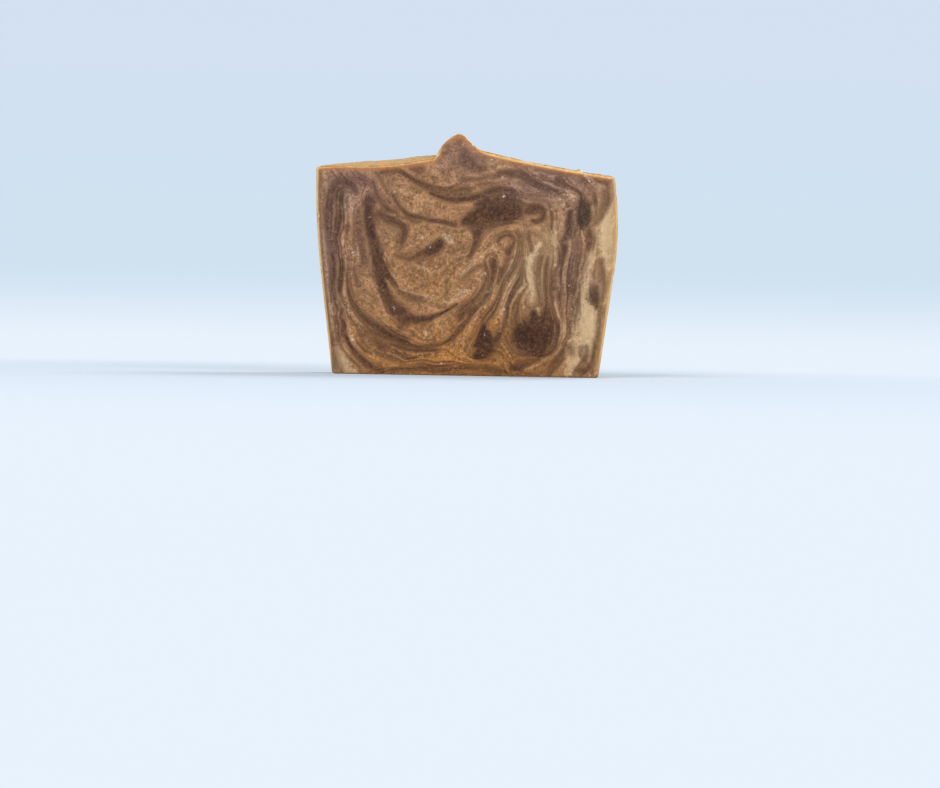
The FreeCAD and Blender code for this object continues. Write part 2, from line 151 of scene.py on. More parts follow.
# Dark streaks of the swirl on the front cut: how dark, which fold of the batter they follow, and their
# points (x, z, half width) in mm
STREAKS = (
    # bowl round the middle
    (0.90, 6.0, ((-29.2, 52, 1.7), (-29.3, 48, 1.4), (-29.1, 45, 1.3), (-28.6, 42, 1.3), (-27.6, 38.6, 1.6),
        (-27, 35, 1.8), (-26.2, 32, 1.9), (-25.4, 27.5, 1.5), (-23.8, 24, 1.5), (-21.9, 20.8, 1.8),
        (-19.6, 18.6, 2.0), (-18.2, 16.8, 2.2))),
    (0.80, 6.1, ((-19.2, 17, 1.4), (-19.2, 14.6, 0.7))),
    (0.85, 6.0, ((-18.2, 16.8, 1.5), (-14.5, 16.8, 1.1), (-11, 17, 0.8), (-7.5, 18.4, 0.5),
        (-2.6, 21.4, 0.5))),
    (0.80, 6.7, ((-26.4, 34, 1.4), (-24.6, 32.4, 1.2), (-23.6, 30, 1.0), (-22.2, 28, 0.8),
        (-20.8, 26.4, 0.4))),
    (0.65, 6.8, ((-20.4, 25.2, 0.4), (-18.2, 24.3, 0.7), (-16, 23.6, 0.9), (-13.2, 23.2, 0.6))),
    (0.70, 6.4, ((-28.2, 57.5, 0.4), (-27.2, 54.2, 0.45), (-25, 50.6, 0.45), (-21.4, 48.6, 0.4))),
    (0.55, 6.3, ((-29.2, 54.6, 0.3), (-27, 52.4, 0.4), (-25.4, 50.2, 0.3))),
    (0.50, 6.2, ((-27.2, 60.4, 0.3), (-25.6, 57.8, 0.4), (-24.4, 55.4, 0.3))),
    (0.70, 7.0, ((-26, 47.9, 0.5), (-23.4, 46.5, 0.9), (-20.6, 45.6, 0.9), (-18.7, 44.2, 1.0),
        (-18.4, 42, 0.9), (-19.6, 39, 0.4))),
    (0.50, 7.2, ((-20.6, 47.6, 0.4), (-18, 46.9, 0.4), (-15.8, 46.1, 0.4), (-13.8, 46.1, 0.3))),
    (0.75, 7.4, ((-22.6, 54, 0.4), (-21, 51.2, 0.45), (-19, 49, 0.5), (-15.5, 47.5, 0.5), (-10.5, 46.4, 0.5),
        (-6, 46, 0.5), (-3.4, 45.4, 0.3))),
    (0.35, 5.4, ((-33, 48.2, 0.8), (-32.6, 45, 1.2), (-33.4, 42, 0.7))),
    (0.35, 5.6, ((-31.8, 41, 0.5), (-31, 37, 0.7), (-30.4, 33.5, 0.4))),
    (0.35, 5.2, ((-33.6, 31.4, 0.6), (-32.6, 27, 0.7))),
    (0.35, 5.0, ((-29.6, 24.5, 0.3), (-27, 22.6, 0.3))),
    # eye
    (0.85, 8.6, ((-7.9, 39.7, 1.2), (-8.8, 38.8, 1.5), (-11, 37.4, 1.2), (-14.2, 36.4, 0.7))),
    (0.60, 8.3, ((-13.8, 36.2, 0.6), (-17.4, 35, 0.6), (-21.2, 35.7, 0.3))),
    # outer bowl, from the left wall round to the middle of the fan
    (0.80, 4.0, ((-36, 30, 0.3), (-35.5, 25.6, 0.5), (-34.4, 22.2, 0.7), (-32.4, 19.3, 0.9), (-30.2, 17, 1.2),
        (-27.3, 14.6, 1.4), (-24, 12.6, 1.5), (-20.6, 11, 1.4), (-17.6, 9.9, 1.0))),
    (0.65, 4.0, ((-18.5, 9.6, 0.8), (-15.5, 8.9, 0.45), (-11.5, 8.5, 0.4), (-7, 9.6, 0.45),
        (-4.2, 11.4, 0.55), (-1, 14.6, 0.6), (2.4, 18.7, 0.55), (4.4, 21.6, 0.5), (6.8, 24.8, 0.5),
        (7.9, 29, 0.5), (8.4, 32.5, 0.7), (8.7, 34.8, 0.5))),
    (0.60, 3.6, ((-22.2, 9.3, 0.3), (-18, 8.1, 0.35), (-14, 7.5, 0.4), (-9, 7.9, 0.4))),
    # low bowl
    (0.75, 2.0, ((-36.8, 19.5, 0.3), (-36.2, 15, 0.45), (-35.3, 10.8, 0.5), (-34, 8.2, 0.8),
        (-31.8, 5.4, 1.2), (-29, 3.1, 1.2), (-24.8, 1, 0.8))),
    (0.45, 2.7, ((-32.4, 9.6, 0.4), (-30, 6.9, 0.5))),
    (0.40, 3.1, ((-31, 12, 0.4), (-28.4, 9, 0.6))),
    (0.45, 3.2, ((-27.4, 10.4, 0.5), (-24.8, 8, 0.6))),
    (0.45, 2.6, ((-26, 6, 0.5), (-22.6, 4.6, 0.7), (-18, 3.6, 0.5))),
    (0.35, 3.0, ((-20, 6, 0.4), (-15, 4.4, 0.5), (-9, 4.2, 0.4))),
    (0.50, 1.8, ((-22, 1.2, 0.6), (-14, 2, 0.8), (-5, 1.8, 0.9), (3, 2.4, 1.1), (10, 1.8, 0.9))),
    # left wall
    (0.70, 1.8, ((-40.9, 51.4, 1.9), (-40, 54.4, 2.0), (-38.4, 56.6, 1.8), (-36.4, 57.4, 1.5),
        (-34.7, 56.8, 1.1), (-33.5, 54.8, 0.5))),
    (0.60, 1.6, ((-40.9, 52, 1.8), (-41.1, 47, 1.8), (-40.9, 43, 1.6), (-40.3, 38.5, 1.7), (-40, 33, 1.6),
        (-39.8, 29, 1.3), (-39.4, 23.5, 1.0), (-38.6, 19.7, 0.5))),
    (0.75, 2.6, ((-38.1, 49, 0.7), (-38.1, 46.4, 1.2), (-38.8, 43, 1.0), (-39.6, 39.5, 0.8))),
    (0.80, 2.8, ((-38.1, 54.6, 0.7), (-37.9, 52.6, 1.1), (-38.2, 50.4, 0.7))),
    (0.75, 3.0, ((-37.4, 34, 0.6), (-37.3, 31.4, 1.1), (-37.6, 28.4, 0.9), (-37.9, 25, 0.4))),
    (0.60, 3.5, ((-36.3, 44.2, 0.6), (-36.4, 43.4, 0.6))),
    (0.50, 0.9, ((-44.4, 50, 0.4), (-44.2, 42, 0.5), (-43.4, 33, 0.6), (-42.2, 22, 0.6), (-41.2, 14, 0.6),
        (-40.4, 8.5, 0.9), (-38.8, 4, 0.9), (-36.8, 1, 0.6))),
    (0.50, 1.5, ((-39.2, 17, 0.4), (-38.5, 13.6, 0.8), (-38, 10.4, 0.8), (-36.8, 7.6, 0.4))),
    (0.45, 2.2, ((-37.7, 22, 0.3), (-37.4, 17, 0.4), (-36.8, 12, 0.4))),
    (0.55, 4.2, ((-34, 59.6, 0.7), (-31.6, 58.3, 1.3), (-29.2, 57.6, 0.9))),
    # upper bowl and the broad band under it
    (0.70, 6.0, ((-26.3, 60.5, 0.3), (-23.2, 61.3, 0.5), (-20.4, 61.2, 0.5), (-18, 59.6, 0.6),
        (-15, 57.7, 0.7), (-11.4, 56.1, 0.7), (-7.6, 55.5, 0.7), (-4, 56, 0.6), (0.2, 56.7, 0.3))),
    (0.85, 7.0, ((-11, 54.6, 0.5), (-7.8, 53.5, 0.9), (-4, 52.9, 1.0), (0, 53.3, 1.0), (4, 54.3, 1.0),
        (7.3, 55.8, 1.1), (10.7, 56.2, 1.0), (13.6, 55.6, 0.9), (16, 54, 0.6))),
    (0.50, 6.6, ((-9.4, 55, 0.9), (-4.5, 54.3, 1.3), (0.8, 54.9, 0.8))),
    (0.55, 5.5, ((-16.8, 62.5, 0.6), (-14, 61.7, 0.8))),
    # crest
    (0.45, 5.4, ((-1.4, 67.4, 0.6), (-0.2, 64.6, 1.3), (1.8, 62.2, 1.0))),
    (0.55, 5.5, ((0.6, 62.2, 0.6), (3, 62, 0.9), (5.2, 62.2, 0.5))),
    (0.50, 5.8, ((-2, 59.2, 0.3), (1.6, 59.3, 0.4), (5, 59.4, 0.3))),
    (0.45, 5.7, ((5, 60.3, 0.4), (8, 60, 0.6), (10, 60.4, 0.6))),
    (0.75, 5.1, ((-6.5, 69.3, 0.5), (-6.1, 69, 0.5))),
    # large dark patch, its tail and its ear
    (0.90, 7.6, ((-0.2, 46.6, 1.2), (3, 47.6, 2.4), (6.5, 49, 3.6), (10, 50, 4.4), (12.4, 50.6, 4.0),
        (13.9, 51, 2.7))),
    (0.80, 7.2, ((3.4, 51.4, 1.0), (7, 52.8, 2.0), (11, 54, 2.0), (14.6, 53.4, 1.8))),
    (0.75, 7.7, ((5, 45.6, 1.6), (9, 46.8, 1.8), (12.6, 47.3, 1.5), (15, 48.4, 0.9))),
    (0.70, 7.9, ((4, 46.4, 1.8), (3.5, 43.6, 1.6), (3.1, 41.4, 1.2), (2, 38, 0.7), (1, 35.6, 0.3))),
    (0.75, 7.3, ((17.9, 49.7, 0.7), (19.6, 50.4, 1.3), (21.6, 50.9, 1.0), (22.9, 49.4, 0.7),
        (22.7, 47.6, 0.5), (21, 46.7, 0.5), (19.6, 46.9, 0.3))),
    (0.55, 7.0, ((17.6, 53.3, 0.3), (20.5, 53, 0.4), (23.8, 52.9, 0.4), (25.2, 51, 0.4), (25.5, 48, 0.4),
        (25.4, 44.6, 0.3))),
    # folds under the right shoulder
    (0.75, 6.2, ((9.5, 61.2, 0.6), (13, 61, 1.0), (16.3, 60.7, 1.0), (19.6, 58.6, 0.9), (22.9, 56.8, 0.8),
        (25.4, 56.1, 0.7), (27.4, 56.4, 0.4))),
    (0.40, 6.5, ((15.4, 58.4, 0.3), (18.6, 56.4, 0.4))),
    (0.50, 6.8, ((15.6, 54.8, 0.5), (20.4, 54.3, 0.4), (24.6, 54.6, 0.4), (28.6, 54.8, 0.3))),
    (0.50, 5.6, ((21.8, 61.2, 0.4), (24, 59.4, 0.4), (26.6, 57.6, 0.4))),
    (0.50, 5.2, ((20.6, 62.2, 0.5), (25.5, 61.7, 0.7), (30.5, 61, 0.5))),
    (0.40, 5.8, ((27, 59.8, 0.3), (28.6, 57.4, 0.4), (27.8, 55.4, 0.3))),
    (0.55, 5.7, ((29.6, 57.6, 0.4), (32.4, 56.2, 0.5), (34.8, 54.4, 0.7))),
    (0.95, 5.2, ((34.7, 53.8, 0.9), (35.1, 51.6, 1.9), (35.3, 49.4, 2.2), (35.2, 47.3, 1.9),
        (34.7, 45.2, 0.8))),
    (0.45, 4.7, ((38.2, 54.6, 0.4), (38.9, 51.6, 0.5), (38.4, 48, 0.4), (37, 45, 0.3))),
    (0.80, 6.0, ((31.1, 49.6, 0.7), (31.1, 46.4, 1.2), (30.8, 43.6, 1.2), (29.2, 41, 0.8))),
    (0.65, 4.6, ((37.2, 43.8, 0.7), (37.5, 41.6, 1.2), (36.9, 39.2, 1.0))),
    (0.55, 3.8, ((41.3, 56, 0.5), (41.9, 53.8, 1.0), (41, 51, 1.0), (39.9, 48.8, 0.9), (38.8, 46.6, 0.5))),
    (0.40, 3.4, ((42.6, 58.6, 0.5), (38.8, 59.4, 0.6))),
    # band that falls along the right side
    (0.38, 6.6, ((29.6, 40.4, 0.8), (28.9, 36.5, 1.0), (28.4, 33, 0.8), (28.6, 28, 0.5), (29.4, 22.5, 0.4))),
    (0.40, 6.0, ((32.2, 45.4, 0.5), (32.3, 40, 0.6), (31.6, 34, 0.8), (31.1, 28.6, 0.7), (31.4, 24, 0.5))),
    (0.50, 5.4, ((33.9, 42.4, 0.5), (33.6, 37, 0.7), (33.3, 32, 1.0), (33.2, 27, 0.9), (32.7, 20.5, 0.8),
        (32.2, 15.4, 0.8), (31.8, 12.4, 0.5))),
    (0.45, 5.0, ((35.2, 38.6, 0.5), (35.1, 35, 1.1), (34.7, 31, 0.6), (34.1, 26, 0.5), (33.6, 20, 0.3))),
    (0.35, 7.2, ((26.2, 31.6, 0.4), (26, 27, 0.7), (26.4, 23.4, 0.5))),
    # leaf strokes and the darkest blot at the lower right
    (0.50, 8.5, ((22.5, 36, 0.4), (22, 32.4, 0.7), (21.8, 29, 0.9), (22.2, 26, 0.8), (23, 22, 0.5))),
    (0.50, 8.0, ((24.4, 35.6, 0.4), (24.1, 31, 0.6), (24.3, 27, 0.8), (24.7, 22.6, 0.9), (25.2, 18.6, 1.3))),
    (1.00, 8.2, ((18.2, 11.8, 3.8), (20.4, 12.2, 5.2), (22.2, 12, 5.4))),
    (0.90, 8.1, ((24.6, 21, 0.8), (24.6, 18, 1.6), (23.6, 15, 2.8))),
    (0.85, 8.4, ((20.6, 19.4, 0.7), (20.6, 17, 1.6), (20.6, 15, 2.2))),
    (0.95, 8.0, ((22.6, 9, 3.0), (22.3, 7.4, 1.8))),
    (0.90, 8.1, ((25.2, 18.6, 1.0), (25.6, 15.4, 1.6), (25, 12, 1.9), (23.8, 9.4, 1.6))),
    (0.80, 7.9, ((15, 14, 0.9), (15.6, 11.6, 1.7), (17, 10, 1.9))),
    (0.45, 6.8, ((28.2, 27, 0.5), (28.4, 23, 0.6), (29, 19.6, 0.5), (29.6, 17, 0.3))),
    (0.65, 7.4, ((27.9, 15.4, 0.5), (27.5, 10.8, 0.7), (25.6, 7.6, 0.8))),
    (0.75, 6.4, ((22.6, 5.2, 0.5), (20, 4.4, 0.8), (17.4, 3.2, 1.0), (14.4, 2.6, 0.8))),
    # blot at the lower middle
    (0.95, 6.0, ((5.8, 15.2, 0.6), (5.7, 12, 2.0), (5.9, 9.6, 3.0), (5.6, 7.4, 2.5), (3.6, 6, 1.0))),
    (0.65, 6.4, ((8.4, 10.2, 0.7), (10.6, 12.6, 0.7), (11.4, 14.6, 0.4))),
    (0.60, 4.6, ((-1.6, 17.4, 0.8), (-0.6, 19.6, 1.7), (1.6, 22, 1.0), (3.4, 24, 0.6))),
    # fan
    (0.50, 5.0, ((-0.8, 29.3, 0.4), (1.4, 31.1, 0.6), (3.6, 32.8, 0.6), (5.6, 33.2, 0.6), (6.3, 31, 0.6),
        (6.1, 28.6, 0.6), (5, 26, 0.7), (3.2, 23.6, 0.7))),
    (0.55, 4.8, ((9, 40.8, 0.4), (11.4, 42.6, 0.8), (13.2, 42.2, 0.9), (13.5, 39.6, 0.9), (12.6, 36.6, 0.8),
        (11.7, 33.2, 0.7), (10.4, 30, 0.6), (9.8, 27.8, 0.3))),
    (0.55, 5.6, ((15.4, 43.8, 0.5), (16.3, 41.6, 0.9), (16, 37.6, 0.8), (15.2, 34.2, 0.7), (13.6, 31.4, 0.7),
        (11.8, 28.4, 0.7), (10.5, 24.8, 0.6), (9, 21.1, 0.7), (7, 18.2, 0.6), (5.8, 16, 0.4))),
    (0.50, 7.2, ((17.6, 34.6, 0.4), (17.1, 31.2, 0.7), (15.6, 28, 0.7), (13.7, 24.4, 0.7), (12.6, 21.2, 0.7),
        (12.6, 18, 0.5), (11.4, 14.6, 0.4))),
    (0.45, 8.0, ((16.4, 24.6, 0.3), (15, 21, 0.7), (14.4, 17.2, 0.8), (14.6, 14, 0.8))),
    (0.40, 8.8, ((18.2, 43, 0.6), (19, 40.6, 0.5), (19.6, 38.2, 0.5))),
    # right edge
    (0.80, 3.2, ((38.8, 26.8, 0.8), (38.5, 24.4, 1.6), (39.4, 21.8, 0.7))),
    (0.50, 2.8, ((40.7, 35.2, 0.7), (41, 31.5, 0.7), (41.5, 27.4, 0.5), (41.1, 23.6, 0.5))),
    (0.50, 2.6, ((41, 21, 0.7), (40.6, 17, 0.9), (40.4, 13.4, 0.7), (39.9, 9, 0.8), (39, 5.4, 1.0),
        (38.4, 2.4, 0.7))),
    (0.50, 4.9, ((31, 9.8, 0.6), (32, 8.8, 1.1), (32.6, 7.2, 0.7))),
    (0.50, 5.2, ((30, 8, 0.6), (28.4, 5.2, 1.0), (26.4, 2.6, 0.7), (25.6, 1, 0.4))),
    (0.55, 3.6, ((35.2, 8.6, 0.8), (35, 6.6, 0.4))),
    (0.55, 3.5, ((36.9, 9.2, 0.6), (37, 7, 0.6), (36.4, 5, 0.4))),
    (0.70, 3.2, ((38.2, 4.6, 0.6), (36.6, 2.6, 0.9), (34.6, 2, 0.8))),
)

# Pale lines and fields, in the same way
PALE_LINES = (
    # cream field along the right side
    (0.85, 3.8, ((36.2, 33.6, 1.1), (35.5, 27.4, 1.2), (36.6, 22.4, 2.0), (36.8, 18.6, 2.9),
        (36.4, 13.6, 3.9), (35.1, 10.2, 3.4), (33.8, 6.9, 2.6), (32.2, 3.6, 2.0), (31.4, 1, 1.4))),
    (0.95, 2.9, ((38.3, 17, 1.4), (38.2, 12.8, 1.6))),
    (0.95, 2.2, ((43.6, 52, 0.7), (42.6, 47.6, 1.7), (41.8, 43, 2.2), (41.6, 38.6, 1.5), (42.6, 33, 0.8))),
    (0.65, 3.9, ((38.2, 37.4, 1.2), (37.4, 34.4, 1.3))),
    (0.40, 1.2, ((43.4, 27, 0.5), (42.8, 20, 0.5))),
    # cream streak beside the fan
    (0.95, 9.0, ((22.4, 40.6, 0.6), (20.6, 37.6, 1.1), (18.8, 34.4, 1.2), (18.8, 31.6, 1.3),
        (19.8, 28.6, 1.1), (20.1, 26, 1.1), (19.7, 23.4, 0.7))),
    (0.65, 7.6, ((18.2, 28, 0.5), (16.8, 26.6, 0.5), (15.2, 24.4, 0.5), (13.7, 21.4, 0.4),
        (13.6, 18.4, 0.3))),
    # glints of lighter batter inside the bowls
    (0.85, 8.9, ((-6.8, 42.4, 0.6), (-5.9, 41.2, 1.4), (-4.2, 40, 0.7))),
    (0.40, 8.9, ((-14, 33, 0.7), (-12.6, 32, 1.2), (-11, 31, 0.6))),
    (0.30, 8.6, ((-10.4, 30.9, 0.5), (-7.6, 31.7, 0.5), (-5.6, 34.2, 0.4))),
    (0.60, 6.9, ((-4.8, 22.1, 0.6), (-2.9, 23.4, 1.2), (-0.6, 24.9, 1.0), (1, 25.9, 0.5))),
    (0.50, 6.5, ((-11.8, 12.2, 0.8), (-11, 12, 0.7))),
    (0.40, 7.2, ((-19, 25.8, 0.4), (-15.4, 24.6, 0.4), (-12, 23.9, 0.5), (-6, 23, 0.5))),
    # between the lines of the fan
    (0.40, 4.5, ((9.1, 31.2, 0.4), (8.6, 28.2, 0.5), (7.1, 25, 0.5), (5.2, 21.6, 0.5), (3, 17.6, 0.5),
        (0.9, 13.3, 0.4), (-1, 9.6, 0.3))),
    (0.40, 5.2, ((14.8, 38.4, 0.4), (13.6, 34.4, 0.5), (12.2, 30.6, 0.5), (10.4, 27.4, 0.4), (8.6, 23, 0.4))),
    (0.40, 6.4, ((15.4, 30.6, 0.4), (13.4, 27, 0.5), (11.8, 23, 0.5), (10.6, 18, 0.4))),
    (0.50, 5.3, ((-1.6, 30.2, 0.3), (1, 33, 0.5), (3.2, 34.9, 0.5), (5.4, 37, 0.4))),
    (0.40, 5.1, ((8.6, 38.8, 0.4), (9.8, 36, 0.5), (9.8, 33.4, 0.4))),
    # between the leaf strokes and round the darkest blot
    (0.65, 8.3, ((23, 33.6, 0.3), (22.9, 28, 0.4), (23.5, 24, 0.35), (24, 21.2, 0.3))),
    (0.55, 8.6, ((21.8, 21.4, 0.4), (22.5, 18.4, 0.5))),
    (0.50, 6.9, ((27, 26, 0.3), (27.2, 22, 0.35), (28, 18.8, 0.4), (28.9, 16, 0.35), (29, 13, 0.35),
        (28.3, 10.6, 0.3))),
    (0.50, 6.7, ((29.7, 16, 0.3), (29.9, 12.4, 0.35), (29.2, 9.4, 0.4), (27.4, 7, 0.4), (24.8, 5.5, 0.4),
        (22, 3.5, 0.35), (18.6, 2.3, 0.3))),
    # along the band on the right
    (0.50, 7.0, ((26.4, 47, 0.5), (26.6, 42, 0.9), (27, 37.6, 0.7), (27.4, 33, 0.4), (27.6, 27, 0.3))),
    (0.50, 6.3, ((31, 41.6, 0.3), (31, 38, 0.35), (30.2, 33, 0.35), (30, 27, 0.3))),
    (0.45, 5.7, ((33.2, 45, 0.3), (33, 40, 0.3), (32.4, 35, 0.3), (32.2, 30, 0.3))),
    (0.45, 5.2, ((32.2, 24.4, 0.3), (32.2, 22, 0.4), (32, 18, 0.3))),
    (0.55, 4.4, ((37.6, 51.6, 0.3), (37.6, 49.4, 0.35), (36.8, 46.4, 0.3), (35.6, 43.6, 0.3))),
    # curls at the head of that band
    (0.50, 6.4, ((28.9, 51.4, 0.3), (29.8, 53.6, 0.35), (31.4, 54.2, 0.35), (32.7, 52.4, 0.3))),
    (0.45, 6.0, ((28, 53, 0.3), (29.4, 55.3, 0.35), (31.8, 55.7, 0.35), (33.6, 53.6, 0.3))),
    (0.40, 5.9, ((24.6, 58.6, 0.3), (27, 56.9, 0.3), (28.4, 55.6, 0.3))),
    # beside the low bowl and up the left wall
    (0.60, 2.4, ((-34.6, 12.4, 0.3), (-33.6, 9.4, 0.4), (-31.3, 6.6, 0.35), (-28.4, 4, 0.3),
        (-26.4, 2.6, 0.3))),
    (0.40, 3.3, ((-36.6, 26, 0.4), (-35.8, 21, 0.5), (-33.8, 17.4, 0.5), (-31.6, 15, 0.3))),
    (0.70, 1.1, ((-38.4, 9, 0.5), (-37.4, 6, 1.4), (-36, 2.4, 1.4), (-33.6, 0.8, 0.7))),
    (0.50, 3.4, ((-25, 7.8, 0.3), (-21.4, 6, 0.4), (-18, 4.8, 0.4))),
    (0.40, 3.5, ((-22.4, 8.6, 0.3), (-18.6, 7, 0.35), (-14, 6.3, 0.4), (-9, 6.6, 0.3))),
    (0.30, 1.2, ((-42.8, 60.6, 0.8), (-43, 55.4, 0.9), (-43.2, 50.6, 0.5))),
    (0.45, 2.2, ((-39.4, 53.6, 0.3), (-39.6, 50.4, 0.5), (-39.9, 46, 0.3), (-40, 42, 0.3))),
    (0.35, 1.2, ((-42.7, 46, 0.3), (-42.4, 38, 0.35), (-41.8, 29, 0.35), (-41, 20, 0.3), (-40, 13, 0.3))),
    (0.35, 2.4, ((-38.9, 35, 0.3), (-38.7, 29, 0.3), (-38.4, 24, 0.3))),
    (0.30, 4.4, ((-35.4, 53.6, 0.6), (-35, 50, 1.0), (-34.9, 46.6, 0.6))),
)

# White flecks with a painted glint, where they catch the light: x, z, radius in mm
GLINT_FLECKS = (
    (-34.1, 36.5, 0.3), (-33.8, 35.8, 0.3), (-29.2, 47.3, 0.25), (-21.8, 47.9, 0.2), (-36.5, 48.8, 0.2),
    (11, 54.1, 0.35), (7.1, 65.1, 0.3), (-13.4, 41.3, 0.3), (-13.1, 40.9, 0.2), (-7.6, 43.1, 0.2),
    (-2.7, 58.1, 0.25), (10.5, 59.7, 0.2), (35.3, 60.7, 0.35), (36.6, 59.1, 0.3), (25.4, 50.4, 0.2),
    (26.9, 33.8, 0.3), (-41.9, 29.5, 0.3), (-33.8, 10.3, 0.4), (-34.3, 2.8, 0.2), (-27.5, 6.1, 0.25),
    (-24, 5.4, 0.2), (5.8, 30.8, 0.35), (5.9, 12.4, 0.2), (11.7, 20.1, 0.25), (12.8, 16.9, 0.3),
    (-7, 3.6, 0.25), (-9.1, 32.6, 0.25), (-1.7, 30.8, 0.15), (10.5, 13.7, 0.2), (31.1, 27.6, 0.2),
    (37.8, 0.6, 0.25), (23.6, 0.4, 0.2), (-21.8, 20.3, 0.2), (-21.3, 19.8, 0.2), (-10.8, 38.4, 0.2),
)

# Soft areas with a cast of their own: x, z, reach in x and z in mm, strength
CASTS = {
    "mauve": ((-42.5, 30, 4.5, 34, 0.9), (-36, 56, 12, 9, 0.8), (-1, 66, 10, 6, 0.8), (26, 58, 17, 6, 0.95),
        (-33, 42, 6, 12, 0.45), (31.5, 36, 5, 20, 0.6), (39, 28, 4, 5, 0.5)),
    "orange": ((-4, 3, 32, 9, 1.0), (5, 12, 16, 8, 0.75), (-16, 12, 10, 6, 0.5), (-10, 28, 9, 5, 0.3),
        (15, 5.5, 4, 3, 1.0), (1, 19, 5, 6, 0.5)),
    "deep": ((14, 2.5, 11, 4.5, 0.9), (12, 9, 7, 5, 0.7), (26, 6, 4, 5, 0.5), (8, 12, 3, 6, 0.4),
        (19.5, 20.5, 3.5, 3, 0.5)),
    "green": ((-37.9, 52.4, 1.6, 3, 0.9), (35.3, 49.3, 2.8, 5.5, 1.0), (-8, 59.5, 6, 3, 0.4),
        (32, 17, 2, 6, 0.6), (38.6, 24, 2, 2.4, 0.3), (16, 26, 5, 10, 0.4)),
    "cream": ((37.5, 17, 4, 13, 0.9), (42.3, 43, 3.6, 9, 1.0), (37.4, 35, 2, 4, 0.6), (20, 31, 3.4, 9, 0.9),
        (24.5, 38.5, 5, 8, 0.6), (-37, 2, 4, 4, 0.8), (33, 4, 3, 5, 0.7), (8, 64.4, 4, 1.5, 0.35)),
    "streaky": ((-40, 30, 5, 32, 1.0), (-34, 14, 6, 14, 0.9), (31, 34, 5, 24, 1.0), (-12, 5, 24, 6, 1.0),
        (10, 27, 11, 16, 0.75), (25, 57, 14, 6, 0.9), (27, 18, 4, 14, 0.8), (36, 5, 5, 5, 0.6),
        (-25, 52, 10, 8, 0.4), (0, 56, 18, 6, 0.35)),
}

# Colours, as light falls on them plainly (red, green, blue out of 255)
# batter and its casts
TAN_PINK = (190, 137, 99)
TAN_OLIVE = (168, 128, 82)
TAN_DEEP = (116, 80, 52)
MAUVE = (136, 107, 102)
ORANGE = (176, 116, 48)
UMBER = (90, 55, 26)
CREAM = (192, 160, 118)
CREAM_LIGHT = (212, 182, 138)
# streaks and threads
STREAK = (62, 34, 23)
STREAK_MAUVE = (78, 54, 48)
STREAK_LIGHT = (96, 62, 42)
GREENISH = (58, 44, 33)
THREAD_PALE = (192, 157, 122)
THREAD_ORANGE = (212, 148, 84)
# grains of spice, and white flecks with a painted glint
SPECK = (98, 52, 34)
FLECK_GLINT = (226, 210, 196)
# rims of the cuts: warm rind with a painted glow, and gold mica with a painted highlight
GOLD_AND_HIGHLIGHT = (226, 172, 104)
GOLD_AND_HIGHLIGHT_PALE = (250, 212, 144)
EDGE_RIND_AND_GLOW = (192, 122, 74)
EDGE_RIND_AND_GLOW_PALE = (208, 164, 106)
# sides and top
SIDE_SKIN = (182, 138, 86)
SIDE_BROWN = (134, 94, 66)
MICA = (192, 137, 66)
MICA_LIGHT = (234, 184, 110)
MICA_BROWN = (140, 90, 50)
MICA_SHEEN = (255, 212, 146)

# Colour of each soft area and how much of it the batter takes, in the order in which they are laid on
CAST_COLOURS = (
    ("mauve", 0.80, MAUVE),
    ("orange", 0.80, ORANGE),
    ("cream", 0.85, CREAM),
    ("deep", 0.55, UMBER),
)
ORANGE_THREADS = 0.80   # how much of the orange the pale threads take
CALM_CREAM = 0.85       # how much of the threads and grains the cream fields lose
OTHER_LINES = 40.0      # step in the folds' noise to another set of lines

# Stage, in metres
SHEET_SIDE = 4.0        # from the middle to either side
SHEET_FRONT = -1.2
SHEET_REAR = 1.6        # where the sheet starts to sweep up
SWEEP_RADIUS = 0.5
SWEEP_STEPS = 16
SHEET_TOP = 2.4
SHEET_DROP = 0.05 * MM  # how far it lies under the base, so that they don't share a plane
PLAIN_BAND = (0.0875, 0.35)  # distances from the bar between which the matt floor turns plain
FLOOR_PALE = (222, 233, 245)
WALL_TOP = (211, 224, 242)
WALL_MIDDLE = (208, 225, 240)
WALL_LOW = (232, 242, 253)

# Light: the room's own, and round lamps with their place and width in metres, watts and colour
ROOM_COLOUR = (0.93, 0.96, 1.0, 1.0)
ROOM_STRENGTH = 0.5
LAMP_AIM = Vector((0, 0, 0.035))
LAMPS = (
    ("front_lamp", (-0.5, -0.9, 0.7), 0.7, 6.6, (1.0, 1.0, 1.0)),
    ("fill_lamp", (0.8, -0.8, 0.35), 0.8, 3.6, (1.0, 1.0, 1.0)),
    ("back_lamp", (0.5, 0.6, 0.8), 0.5, 4.5, (1.0, 0.97, 0.92)),
)

# Camera
LENS = 50.0
SENSOR = 36.0
CAMERA_AT = Vector((1.87, -406.5, 7.77)) * MM
CAMERA_DOWN = math.radians(1.93)
CAMERA_ROLL = math.radians(1.0)


def smooth_step(low, high, value):
    """0 below low, 1 above high, and a soft S between them."""
    share = np.clip((value - low) / (high - low), 0.0, 1.0)
    return share * share * (3 - 2 * share)


def noise_at(places, size, seed, octaves=1):
    """Smooth noise, about -1 to 1, at places in mm. Its bumps are about size across."""
    shift = SEED_STEP * seed
    values = np.empty(len(places))
    for index, place in enumerate(places / size):
        spot = Vector(place) + shift
        values[index] = noise.noise(spot) if octaves == 1 else noise.fractal(spot, 1.0, 2.0, octaves)
    return values


def smooth_line(points):
    """A smooth run of points through given points, each with its half width."""
    points = np.array(points, float)
    ends = np.vstack([2 * points[0] - points[1], points, 2 * points[-1] - points[-2]])
    run = []
    for before, start, stop, after in zip(ends, ends[1:], ends[2:], ends[3:]):
        for share in np.arange(LINE_STEPS) / LINE_STEPS:
            run.append(0.5 * (2 * start + (stop - before) * share
                              + (2 * before - 5 * start + 4 * stop - after) * share ** 2
                              + (3 * start - before - 3 * stop + after) * share ** 3))
    run.append(points[-1])
    return np.array(run)


